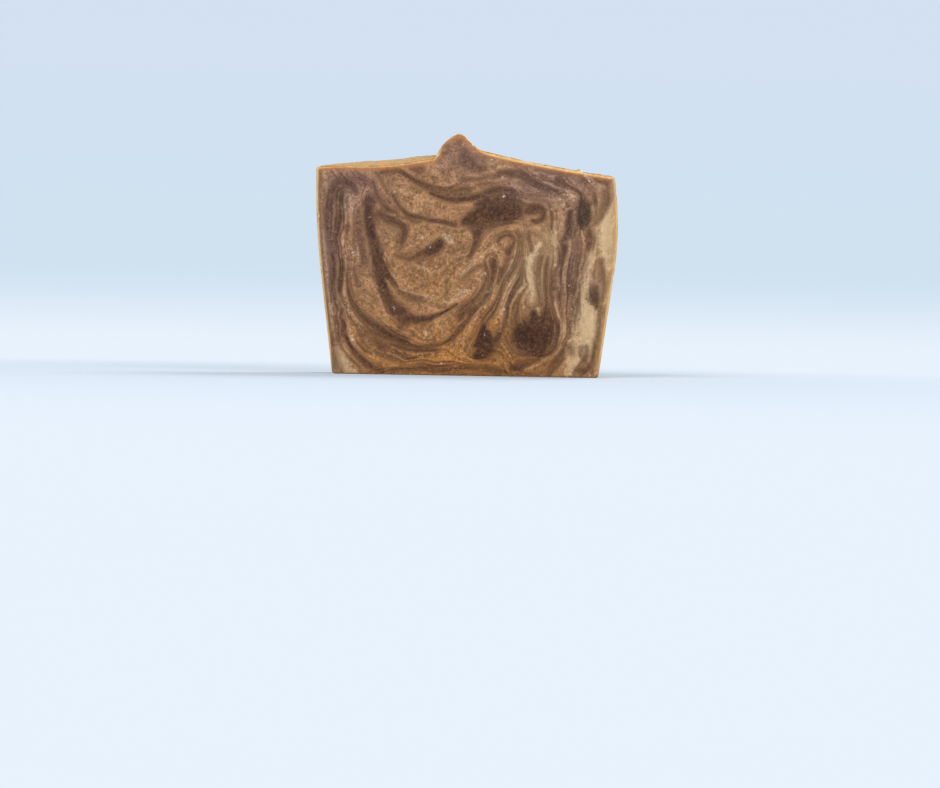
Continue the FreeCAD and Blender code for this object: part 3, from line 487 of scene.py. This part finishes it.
def inside(places, line):
    """How far inside a line of varying width each place lies, in soft edges: 0 at its edge, less outside."""
    best = np.full(len(places), FAR_OUT)
    widest = line[:, 2].max()
    reach = widest - FAR_OUT * (SOFT_EDGE + SOFT_SHARE * widest)
    low = line[:, :2].min(0) - reach
    high = line[:, :2].max(0) + reach
    near = np.flatnonzero(np.all((places > low) & (places < high), axis=1))
    spots = places[near]
    for start, stop in zip(line, line[1:]):
        along = stop[:2] - start[:2]
        share = np.clip((spots - start[:2]) @ along / max(along @ along, TINY), 0, 1)
        gap = np.linalg.norm(spots - start[:2] - share[:, None] * along, axis=1)
        half = start[2] + share * (stop[2] - start[2])
        best[near] = np.maximum(best[near], (half - gap) / (SOFT_EDGE + SOFT_SHARE * half))
    return best


def edge_and_depth(places, lines):
    """For a set of lines: how far inside the nearest one a place lies, and how strong the lines there are."""
    edge = np.full(len(places), FAR_OUT)
    weight = np.full(len(places), TINY)
    depth = np.zeros(len(places))
    for strength, _, points in lines:
        part = inside(places, smooth_line(points))
        edge = np.maximum(edge, part)
        share = np.exp(FIRMNESS * np.minimum(part, 1.0))
        weight += share
        depth += share * strength
    return edge, depth / weight


def fold_field(places):
    """The batter's folds: a smooth field that keeps one value along each streak, for fine lines to follow."""
    knots = []
    for _, fold, points in STREAKS + PALE_LINES:
        knots += [(x, z, fold) for x, z, _ in points]
    for z in WALL_HEIGHTS:
        knots.append((-WALL_X, z, FOLD_AT_LEFT))
        knots.append((WALL_X, z, FOLD_AT_RIGHT))
    knots = np.array(knots)
    spots = knots[:, :2] / FOLD_UNIT
    count = len(knots)

    def spline(gap):
        return gap ** 2 * np.log(np.maximum(gap, TINY))

    gaps = np.linalg.norm(spots[:, None] - spots[None], axis=2)
    flat = np.hstack([np.ones((count, 1)), spots])
    system = np.zeros((count + 3, count + 3))
    system[:count, :count] = spline(gaps) + FOLD_SLACK * np.eye(count)
    system[:count, count:] = flat
    system[count:, :count] = flat.T
    answer = np.linalg.solve(system, np.concatenate([knots[:, 2], np.zeros(3)]))
    values = np.empty(len(places))
    for first in range(0, len(places), FOLD_BATCH):
        batch = slice(first, first + FOLD_BATCH)
        part = places[batch] / FOLD_UNIT
        gaps = np.linalg.norm(part[:, None] - spots[None], axis=2)
        values[batch] = spline(gaps) @ answer[:count] + answer[count] + part @ answer[count + 1:]
    return values


def cast(places, patches):
    """Strength of a soft cast of colour: the fullest of its patches at each place."""
    value = np.zeros(len(places))
    for x, z, reach_x, reach_z, strength in patches:
        away = ((places[:, 0] - x) / reach_x) ** 2 + ((places[:, 1] - z) / reach_z) ** 2
        value = np.maximum(value, strength * np.exp(-CAST_FADE * away))
    return value


def point_rows(mesh, name):
    """One row for each point of the mesh: its place ("co"), in metres, or its normal ("normal")."""
    flat = np.empty(len(mesh.vertices) * 3)
    mesh.vertices.foreach_get(name, flat)
    return flat.reshape(-1, 3)


def cad_surfaces(node):
    """Search trees of the modelled bar: its whole surface, and its walls without the two cut faces."""
    shape = bmesh.new()
    shape.from_mesh(node.data)
    bmesh.ops.remove_doubles(shape, verts=shape.verts, dist=0.001 * MM)
    shape.normal_update()
    whole = BVHTree.FromBMesh(shape)
    cuts = [face for face in shape.faces if abs(face.normal.y) > 0.7]
    mesh = bpy.data.meshes.new("soap_skin")
    shape.to_mesh(mesh)
    bmesh.ops.delete(shape, geom=cuts, context="FACES")
    walls = BVHTree.FromBMesh(shape)
    shape.free()
    return mesh, whole, walls


def refine(mesh, chosen):
    """Splits every face that chosen picks into four."""
    shape = bmesh.new()
    shape.from_mesh(mesh)
    edges = {edge for face in shape.faces if chosen(face) for edge in face.edges}
    bmesh.ops.subdivide_edges(shape, edges=list(edges), cuts=1, use_grid_fill=True)
    shape.to_mesh(mesh)
    shape.free()


def settle(mesh, surface):
    """Evens the mesh out and lays every point back on the modelled surface."""
    every_way = {"use_axis_x": True, "use_axis_y": True, "use_axis_z": True}
    shape = bmesh.new()
    shape.from_mesh(mesh)
    for _ in range(FAIR_PASSES):
        bmesh.ops.smooth_vert(shape, verts=shape.verts, factor=0.5, **every_way)
        for vert in shape.verts:
            vert.co = surface.find_nearest(vert.co)[0]
    shape.to_mesh(mesh)
    shape.free()
    mesh.update()


def looked_at(face):
    """True on the front cut, on the top and close beside the front cut's edges."""
    middle = face.calc_center_median() / MM
    return face.normal.y < -0.4 or face.normal.z > 0.7 or middle.y < RIM_BAND - HALF_THICKNESS


def dense_bar(node):
    """The bar's skin as one closed, evenly meshed surface that lies on the modelled one."""
    mesh, whole, walls = cad_surfaces(node)
    soap = bpy.data.objects.new("soap", mesh)
    bpy.context.scene.collection.objects.link(soap)
    voxels = soap.modifiers.new("Even", "REMESH")
    voxels.mode = "VOXEL"
    voxels.voxel_size = COARSE_CELL
    graph = bpy.context.evaluated_depsgraph_get()
    even = bpy.data.meshes.new_from_object(soap.evaluated_get(graph))
    soap.modifiers.clear()
    soap.data = even
    settle(even, whole)
    refine(even, looked_at)
    settle(even, whole)
    return soap, walls


def on_top(places, normals, low, high):
    """1 on the spooned top, where the normal's rise is above high, and 0 where it is below low."""
    return smooth_step(low, high, normals[:, 2]) * smooth_step(*SHOULDER, places[:, 2])


def relief(places, normals, rim_gap):
    """Height of the fine relief at each point, in mm, mostly hollows."""
    cut = smooth_step(0.6, 0.95, np.abs(normals[:, 1]))
    top = on_top(places, normals, 0.3, 0.7)
    side = (1 - cut) * (1 - top)
    base = smooth_step(-0.7, -0.95, normals[:, 2])
    ridges = noise_at(places * RIDGE_SQUEEZE, size=2.2, seed=1) * WIRE_DRAG
    drag = ridges + noise_at(places, size=0.9, seed=2) * CUT_GRAIN
    pitted = smooth_step(PIT_RARITY, PIT_RARITY + PIT_SLOPE, noise_at(places, size=1.3, seed=3))
    crumb = noise_at(places, size=1.1, seed=4, octaves=3) * TOP_GRAIN
    grain = crumb + noise_at(places, size=4.5, seed=5) * TOP_DIMPLE
    wave = noise_at(places, size=9.0, seed=6) * SKIN_WAVE
    ragged = np.maximum(noise_at(places, size=1.6, seed=7, octaves=2), 0) * RIM_RAGGED
    height = cut * (drag - WIRE_DRAG - pitted * PIT_DEPTH)
    height += top * (grain - TOP_GRAIN) + side * (wave - SKIN_WAVE)
    height -= ragged * smooth_step(*RAGGED_BAND, rim_gap)
    return height * (1 - base)


def chipped(places):
    """How far the small damage on the edges moves each point, in mm."""
    move = np.zeros_like(places)
    rough = 0.25 * noise_at(places, size=0.8, seed=8)
    for spot, radius, push in CHIPS:
        away = np.linalg.norm(places - spot, axis=1) / radius
        move += smooth_step(1.0, 0.35, away + rough)[:, None] * push
    return move


def tightened(places):
    """Draws both rounded corners at the foot out, as soap sets in a mould's crisp corner."""
    moved = places.copy()
    for middle, side, lean in FEET:
        out = places[:, [0, 2]] - middle
        reach = np.maximum(np.linalg.norm(out, axis=1), TINY)
        down = -out[:, 1] / reach
        along = out @ (side * math.cos(lean), -math.sin(lean)) / reach
        turned = (down > math.sin(lean)) & (along > math.sin(lean))
        both = down[turned] ** SQUARENESS + along[turned] ** SQUARENESS
        moved[np.ix_(turned, [0, 2])] = middle + out[turned] * both[:, None] ** (-1 / SQUARENESS)
    return moved


def store(mesh, name, values):
    """Stores one number for each point of the mesh under a name that the material reads."""
    layer = mesh.attributes.new(name, "FLOAT", "POINT")
    layer.data.foreach_set("value", np.asarray(values, np.float32))


def swirl_places(places):
    """Where each point falls on the listed pattern, as x and z in mm."""
    depth_share = (places[:, 1] + HALF_THICKNESS) / (2 * HALF_THICKNESS)
    bend_x = DRIFT_X * depth_share * np.cos(places[:, 2] / DRIFT_X_WAVE + DRIFT_X_START)
    bend_z = DRIFT_Z * depth_share * np.sin(places[:, 0] / DRIFT_Z_WAVE)
    stray = np.stack([noise_at(places, WANDER_SIZE, seed=11), noise_at(places, WANDER_SIZE, seed=12)], axis=1)
    return places[:, [0, 2]] + np.stack([bend_x, bend_z], axis=1) + WANDER * stray


def store_swirl(mesh, places, normals):
    """Stores where the streaks, pale lines, folds and soft areas of the swirl lie, and the white flecks with
    a painted glint.
    """
    swirl = swirl_places(places)
    for name, lines in (("dark", STREAKS), ("pale", PALE_LINES)):
        edge, depth = edge_and_depth(swirl, lines)
        store(mesh, name + "_edge", edge)
        store(mesh, name + "_depth", depth)
    store(mesh, "fold", fold_field(swirl))
    for name, patches in CASTS.items():
        store(mesh, name, cast(swirl, patches))
    fleck = np.zeros(len(places))
    for x, z, radius in GLINT_FLECKS:
        away = np.linalg.norm(places[:, [0, 2]] - (x, z), axis=1) / radius
        fleck = np.maximum(fleck, smooth_step(*FLECK_EDGE, away))
    store(mesh, "fleck", fleck * (normals[:, 1] < -0.5))


def store_rims(mesh, places, normals, wall_gap, wall_rise):
    """Stores where the cuts and the top are, and how strong the warm rind and the gold line round the rims of
    the cuts are, with their painted glow and painted highlight.
    """
    x, _, z = places.T
    roof = smooth_step(0.2, 0.7, wall_rise)
    off_base = smooth_step(-0.7, -0.3, wall_rise)
    # gold line: mica and a painted highlight, weaker at the foot and on the crest, strongest along the top
    # right of the crest
    gold = GOLD_AND_HIGHLIGHT_AT_FOOT + (1 - GOLD_AND_HIGHLIGHT_AT_FOOT) * smooth_step(*GOLD_AND_HIGHLIGHT_FOOT_Z, z)
    gold += roof * (GOLD_AND_HIGHLIGHT_AT_RIGHT - 1) * smooth_step(*GOLD_AND_HIGHLIGHT_RIGHT_X, x)
    gold -= (1 - GOLD_AND_HIGHLIGHT_ON_CREST) * smooth_step(*GOLD_AND_HIGHLIGHT_CREST_Z, z)
    # warm rind round the rims, partly a painted glow of light through the edge, stronger on the right wall
    warm = WARM_LEFT + (WARM_RIGHT - WARM_LEFT) * smooth_step(*WARM_X, x)
    store(mesh, "wall_gap", wall_gap)
    store(mesh, "roof", roof)
    store(mesh, "gold", off_base * gold)
    store(mesh, "warm", off_base * np.maximum(roof, warm))
    store(mesh, "cut_face", smooth_step(0.35, 0.85, np.abs(normals[:, 1])))
    store(mesh, "top", on_top(places, normals, 0.25, 0.6))


def linear(colour):
    """A colour out of 255 as the plain light values that the nodes take."""
    def one(value):
        value /= 255
        return value / 12.92 if value <= 0.04045 else ((value + 0.055) / 1.055) ** 2.4
    return (*[one(value) for value in colour], 1.0)


class Net:
    """The node tree of one material, with short calls for the nodes it needs."""

    def __init__(self, name):
        self.material = bpy.data.materials.new(name)
        self.material.use_nodes = True
        self.tree = self.material.node_tree
        self.tree.nodes.clear()

    def add(self, kind, inputs=None, **settings):
        node = self.tree.nodes.new(kind)
        for name, value in settings.items():
            setattr(node, name, value)
        for name, value in (inputs or {}).items():
            self.put(node.inputs[name], value)
        return node

    def put(self, socket, value):
        """Sets an input to a number or to a colour out of 255, or links another node's output to it."""
        if isinstance(value, bpy.types.NodeSocket):
            self.tree.links.new(value, socket)
        elif isinstance(value, tuple):
            socket.default_value = linear(value)
        else:
            socket.default_value = value

    def place(self):
        return self.add("ShaderNodeTexCoord").outputs["Object"]

    def stored(self, name):
        return self.add("ShaderNodeAttribute", attribute_name=name).outputs["Fac"]

    def maths(self, operation, first, second=0.0, third=0.0):
        return self.add("ShaderNodeMath", {0: first, 1: second, 2: third}, operation=operation).outputs[0]

    def times(self, first, second, plus=0.0):
        return self.maths("MULTIPLY_ADD", first, second, plus)

    def step(self, value, low, high, start=0.0, stop=1.0):
        """Runs softly from start to stop while the value goes from low to high."""
        inputs = {"Value": value, "From Min": low, "From Max": high, "To Min": start, "To Max": stop}
        return self.add("ShaderNodeMapRange", inputs, interpolation_type="SMOOTHSTEP").outputs[0]

    def mix(self, share, first, second, blend="MIX"):
        inputs = {0: share, 6: first, 7: second}
        return self.add("ShaderNodeMix", inputs, data_type="RGBA", blend_type=blend).outputs[2]

    def grain(self, place, size, detail=2.0, rough=0.5):
        """Noise from 0 to 1 with bumps about size mm across."""
        inputs = {"Vector": place, "Scale": 1 / (size * MM), "Detail": detail, "Roughness": rough}
        return self.add("ShaderNodeTexNoise", inputs, noise_dimensions="3D").outputs["Fac"]

    def lines(self, place, field, length, count, detail=2.0, rough=0.5):
        """Noise drawn out along a field's levels: lines about length mm long, count to each step of it."""
        inputs = {"Vector": place, "Scale": 1 / (length * MM), "W": self.times(field, count * length * MM),
                  "Detail": detail, "Roughness": rough}
        return self.add("ShaderNodeTexNoise", inputs, noise_dimensions="4D").outputs["Fac"]

    def spots(self, place, spacing, radius, soft):
        """1 in round spots scattered spacing mm apart, 0 between them."""
        inputs = {"Vector": place, "Scale": 1 / (spacing * MM)}
        far = self.add("ShaderNodeTexVoronoi", inputs).outputs["Distance"]
        return self.step(far, (radius + soft) / spacing, radius / spacing)

    def shader(self, inputs):
        out = self.add("ShaderNodeOutputMaterial")
        self.put(out.inputs[0], self.add("ShaderNodeBsdfPrincipled", inputs).outputs[0])


def batter_marks(net, place):
    """The noises that break up the soap's colour. Lines run along the folds, and grain lies all over."""
    fold = net.stored("fold")
    second_fold = net.maths("ADD", fold, OTHER_LINES)
    third_fold = net.maths("ADD", fold, 2 * OTHER_LINES)
    return SimpleNamespace(
        bands=net.lines(place, fold, length=26, count=1.1),
        threads=net.lines(place, fold, length=18, count=3.6, detail=3, rough=0.55),
        pale_threads=net.lines(place, second_fold, length=19, count=3.4, detail=3, rough=0.6),
        hairs=net.lines(place, third_fold, length=9, count=4.6, detail=3, rough=0.6),
        cloud=net.grain(place, size=5.5, detail=3, rough=0.55),
        patch=net.grain(place, size=1.5, detail=3, rough=0.65),
        mottle=net.grain(place, size=1.2, detail=3, rough=0.6),
        grit=net.grain(place, size=0.55, detail=2, rough=0.6),
        streaky=net.stored("streaky"),
        calm=net.times(net.stored("cream"), -CALM_CREAM, 1.0),
        pale_thread=net.mix(net.times(net.stored("orange"), ORANGE_THREADS), THREAD_PALE, THREAD_ORANGE),
    )


def batter(net, marks):
    """Batter from pink to olive, with the casts of its soft areas."""
    ground = net.mix(net.step(marks.patch, 0.36, 0.64), TAN_OLIVE, TAN_PINK)
    ground = net.mix(net.step(marks.cloud, 0.62, 0.38, 0, 0.4), ground, TAN_DEEP)
    for name, strength, colour in CAST_COLOURS:
        ground = net.mix(net.times(net.stored(name), strength), ground, colour)
    return ground


def threaded(net, marks, ground):
    """Bands, threads and hairlines that follow the folds, strongest where the batter was drawn out."""
    ground = net.mix(net.step(marks.bands, 0.42, 0.62, 0, 0.4), ground, TAN_DEEP)
    dark_share = net.times(net.step(marks.threads, 0.46, 0.58), net.times(marks.streaky, 0.60, 0.20))
    ground = net.mix(dark_share, ground, STREAK_LIGHT)
    broken = net.step(marks.mottle, 0.40, 0.60, 0.25, 1.0)
    pale_share = net.times(net.times(marks.streaky, 0.60, 0.10), broken)
    pale_share = net.times(net.step(marks.pale_threads, 0.52, 0.62), pale_share)
    ground = net.mix(pale_share, ground, marks.pale_thread)
    hair_share = net.times(net.times(marks.streaky, 0.8, 0.2), marks.calm)
    return net.mix(hair_share, ground, net.step(marks.hairs, 0.34, 0.66, 0.80, 1.20), "MULTIPLY")


def pale_lined(net, marks, ground):
    """Pale lines and fields, their edges frayed along the folds and by the grain."""
    fray = net.times(marks.pale_threads, 4.0, net.times(marks.mottle, 2.4, -3.2))
    edge = net.maths("ADD", net.stored("pale_edge"), fray)
    share = net.times(net.step(edge, -0.6, 0.8), net.stored("pale_depth"))
    broad = net.mix(net.step(marks.bands, 0.3, 0.7), CREAM, CREAM_LIGHT)
    return net.mix(share, ground, net.mix(net.stored("cream"), marks.pale_thread, broad))


def streaked(net, marks, ground):
    """Dark streaks in a faint halo, frayed like the pale lines and uneven in strength."""
    near = net.stored("dark_edge")
    fray = net.times(marks.threads, 3.0, net.times(marks.mottle, 4.4, net.times(marks.grit, 3.0, -5.2)))
    edge = net.maths("ADD", near, fray)
    depth = net.times(net.stored("dark_depth"), net.step(marks.cloud, 0.3, 0.6, 0.85, 1.05))
    depth = net.times(depth, net.step(marks.patch, 0.3, 0.6, 0.8, 1.05))
    halo = net.times(net.step(near, -1.5, 0.3), net.times(depth, 0.4))
    ground = net.mix(halo, ground, TAN_DEEP)
    worn = net.times(depth, net.step(marks.grit, 0.45, 0.8, 1.0, 0.82))
    streak = net.mix(net.stored("mauve"), STREAK, STREAK_MAUVE)
    streak = net.mix(net.stored("green"), streak, GREENISH)
    return net.mix(net.times(net.step(edge, -1.0, 0.6), worn), ground, streak)


def grained(net, marks, ground, place):
    """Grains of spice, and white flecks with a painted glint."""
    shade = net.step(marks.mottle, 0.32, 0.68, 0.76, 1.24)
    shade = net.times(shade, net.step(marks.grit, 0.30, 0.70, 0.74, 1.26))
    ground = net.mix(marks.calm, ground, shade, "MULTIPLY")
    dark = net.maths("MAXIMUM", net.spots(place, spacing=1.5, radius=0.20, soft=0.16),
                     net.spots(place, spacing=2.7, radius=0.30, soft=0.25))
    ground = net.mix(net.times(net.times(dark, marks.calm), 0.5), ground, SPECK)
    pale = net.maths("MAXIMUM", net.spots(place, spacing=1.1, radius=0.05, soft=0.16),
                     net.spots(place, spacing=2.9, radius=0.08, soft=0.20))
    rare = net.step(marks.patch, 0.50, 0.66)
    ground = net.mix(net.times(net.times(pale, rare), 0.5), ground, CREAM_LIGHT)
    # painted glint: the white flecks lightened where they would catch the light
    glint = net.times(net.stored("fleck"), net.step(marks.grit, 0.40, 0.55, 0.1, 0.8))
    return net.mix(glint, ground, FLECK_GLINT)


def rimmed(net, marks, cut):
    """Warm rind round the rim of a cut, partly a painted glow of light through the edge, and the gold line at
    its very edge, partly mica and partly a painted highlight.
    """
    gap = net.stored("wall_gap")
    gold_and_highlight_share = net.stored("gold")
    # warm rind near the walls and the top, partly a painted glow of light through the translucent edge
    rind_and_glow_edge = net.step(net.times(marks.mottle, 1.2, gap), 3.0, 0.5)
    warm = net.times(rind_and_glow_edge, net.times(net.stored("warm"), 0.85))
    cut = net.mix(warm, cut, net.mix(net.stored("roof"), EDGE_RIND_AND_GLOW_PALE, EDGE_RIND_AND_GLOW))
    # gold line at the very edge: mica with a painted highlight along the bevel
    gold = net.mix(net.step(marks.mottle, 0.35, 0.65), GOLD_AND_HIGHLIGHT, GOLD_AND_HIGHLIGHT_PALE)
    width = net.times(gold_and_highlight_share, 0.7, 0.45)
    line = net.times(net.step(net.times(marks.mottle, 0.6, gap), width, 0.3), gold_and_highlight_share)
    return net.mix(line, cut, gold)


def dusted_top(net, marks, place, cloud):
    """Gold mica over brown batter, with grains of spice."""
    dusted = net.mix(net.step(cloud, 0.36, 0.5), MICA_BROWN, MICA)
    dusted = net.mix(net.step(marks.mottle, 0.48, 0.72), dusted, MICA_LIGHT)
    grains = net.spots(place, spacing=1.7, radius=0.16, soft=0.12)
    return net.mix(net.times(grains, 0.85), dusted, SPECK)


def soap_material():
    """Swirled batter on the cuts, clouded skin on the sides, and mica on the top."""
    net = Net("swirled_soap")
    place = net.place()
    marks = batter_marks(net, place)
    cut = threaded(net, marks, batter(net, marks))
    cut = streaked(net, marks, pale_lined(net, marks, cut))
    cut = rimmed(net, marks, grained(net, marks, cut, place))

    cloud = net.grain(place, size=6.5, detail=4, rough=0.6)
    skin = net.mix(net.step(cloud, 0.42, 0.58), SIDE_BROWN, SIDE_SKIN)
    skin = net.mix(0.35, skin, cut)
    colour = net.mix(net.stored("cut_face"), skin, cut)
    top = net.stored("top")
    colour = net.mix(top, colour, dusted_top(net, marks, place, cloud))

    bump = net.add("ShaderNodeBump", {"Strength": 0.5, "Distance": 0.05 * MM, "Height": marks.grit})
    rough = net.times(top, -0.16, net.step(marks.mottle, 0.2, 0.8, 0.62, 0.48))
    net.shader({"Base Color": colour, "Metallic": net.times(top, 0.4), "Roughness": rough,
                "Normal": bump.outputs[0], "Specular IOR Level": 0.2, "IOR": 1.45,
                "Sheen Weight": top, "Sheen Roughness": 0.35, "Sheen Tint": MICA_SHEEN})
    return net.material


def backdrop_colour(net):
    """Pale blue that lightens toward the floor."""
    place = net.add("ShaderNodeNewGeometry").outputs["Position"]
    height = net.add("ShaderNodeSeparateXYZ", {0: place}).outputs["Z"]
    rising = net.mix(net.step(height, 0.0, 0.16), WALL_LOW, WALL_MIDDLE)
    return net.mix(net.step(height, 0.2, 0.7), rising, WALL_TOP)


def sheet_material():
    """Pale and matt near the bar, where its shadow falls, and the backdrop's plain colour farther off."""
    net = Net("pale_sheet")
    matt = net.add("ShaderNodeBsdfDiffuse", {"Color": FLOOR_PALE})
    plain = net.add("ShaderNodeEmission", {"Color": backdrop_colour(net), "Strength": 1.0})
    far = net.add("ShaderNodeVectorMath", {0: net.place()}, operation="LENGTH").outputs["Value"]
    rays = net.add("ShaderNodeLightPath")
    seen = net.maths("MAXIMUM", rays.outputs["Is Camera Ray"], rays.outputs["Is Glossy Ray"])
    share = net.times(net.step(far, *PLAIN_BAND), seen)
    mixed = net.add("ShaderNodeMixShader", {0: share, 1: matt.outputs[0], 2: plain.outputs[0]})
    net.add("ShaderNodeOutputMaterial", {0: mixed.outputs[0]})
    return net.material


def build_stage():
    """A pale sheet under the bar that sweeps up behind it."""
    profile = [(SHEET_FRONT, 0.0), (SHEET_REAR, 0.0)]
    for step in range(1, SWEEP_STEPS + 1):
        angle = math.pi / 2 * step / SWEEP_STEPS
        profile.append((SHEET_REAR + SWEEP_RADIUS * math.sin(angle), SWEEP_RADIUS * (1 - math.cos(angle))))
    profile.append((SHEET_REAR + SWEEP_RADIUS, SHEET_TOP))
    points = [(x, y, z - SHEET_DROP) for y, z in profile for x in (-SHEET_SIDE, SHEET_SIDE)]
    faces = [(i, i + 1, i + 3, i + 2) for i in range(0, len(points) - 2, 2)]
    mesh = bpy.data.meshes.new("sheet")
    mesh.from_pydata(points, [], faces)
    for polygon in mesh.polygons:
        polygon.use_smooth = True
    sheet = bpy.data.objects.new("sheet", mesh)
    bpy.context.scene.collection.objects.link(sheet)
    mesh.materials.append(sheet_material())


def build_lights():
    """Soft studio light: an even room, two wide lamps in front and one above and behind."""
    world = bpy.data.worlds.new("room")
    world.use_nodes = True
    room = world.node_tree.nodes["Background"]
    room.inputs["Color"].default_value = ROOM_COLOUR
    room.inputs["Strength"].default_value = ROOM_STRENGTH
    bpy.context.scene.world = world
    for name, at, width, power, colour in LAMPS:
        light = bpy.data.lights.new(name, "AREA")
        light.shape = "DISK"
        light.size = width
        light.energy = power
        light.color = colour
        holder = bpy.data.objects.new(name, light)
        holder.location = at
        holder.rotation_mode = "QUATERNION"
        holder.rotation_quaternion = (LAMP_AIM - Vector(at)).to_track_quat("-Z", "Y")
        bpy.context.scene.collection.objects.link(holder)


def build_camera():
    """The photograph's view: level with the foot of the bar, tipped a little down and turned a degree."""
    forward = Vector((0, math.cos(CAMERA_DOWN), -math.sin(CAMERA_DOWN)))
    upward = Vector((0, math.sin(CAMERA_DOWN), math.cos(CAMERA_DOWN)))
    side = Vector((1, 0, 0))
    right = math.cos(CAMERA_ROLL) * side + math.sin(CAMERA_ROLL) * upward
    above = -math.sin(CAMERA_ROLL) * side + math.cos(CAMERA_ROLL) * upward
    turn = Matrix((right, above, -forward)).transposed().to_4x4()
    data = bpy.data.cameras.new("view")
    data.lens = LENS
    data.sensor_width = SENSOR
    data.clip_start = 0.01
    camera = bpy.data.objects.new("view", data)
    camera.matrix_world = Matrix.Translation(CAMERA_AT) @ turn
    bpy.context.scene.collection.objects.link(camera)
    bpy.context.scene.camera = camera


def build_soap():
    """Meshes the bar anew, gives it its relief inside the modelled box, and stores its pattern."""
    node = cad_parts["soap_bar"]
    soap, walls = dense_bar(node)
    mesh = soap.data
    places = point_rows(mesh, "co") / MM
    normals = point_rows(mesh, "normal")
    nearest = [walls.find_nearest(Vector(place * MM)) for place in places]
    wall_gap = np.array([found[3] / MM for found in nearest])
    wall_rise = np.array([found[1].z for found in nearest])
    rim_gap = np.maximum(wall_gap, HALF_THICKNESS - np.abs(places[:, 1]))
    raised = places + normals * relief(places, normals, rim_gap)[:, None] + chipped(places)
    raised = np.clip(tightened(raised), np.array(cad_low) / MM, np.array(cad_high) / MM)
    mesh.vertices.foreach_set("co", (raised * MM).ravel())
    mesh.update()
    store_swirl(mesh, places, normals)
    store_rims(mesh, places, normals, wall_gap, wall_rise)
    mesh.polygons.foreach_set("use_smooth", np.ones(len(mesh.polygons), bool))
    mesh.materials.clear()
    mesh.materials.append(soap_material())
    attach(soap, "root")
    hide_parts("soap_bar")


build_soap()
build_stage()
build_lights()
build_camera()
bpy.context.scene.view_settings.view_transform = "Standard"
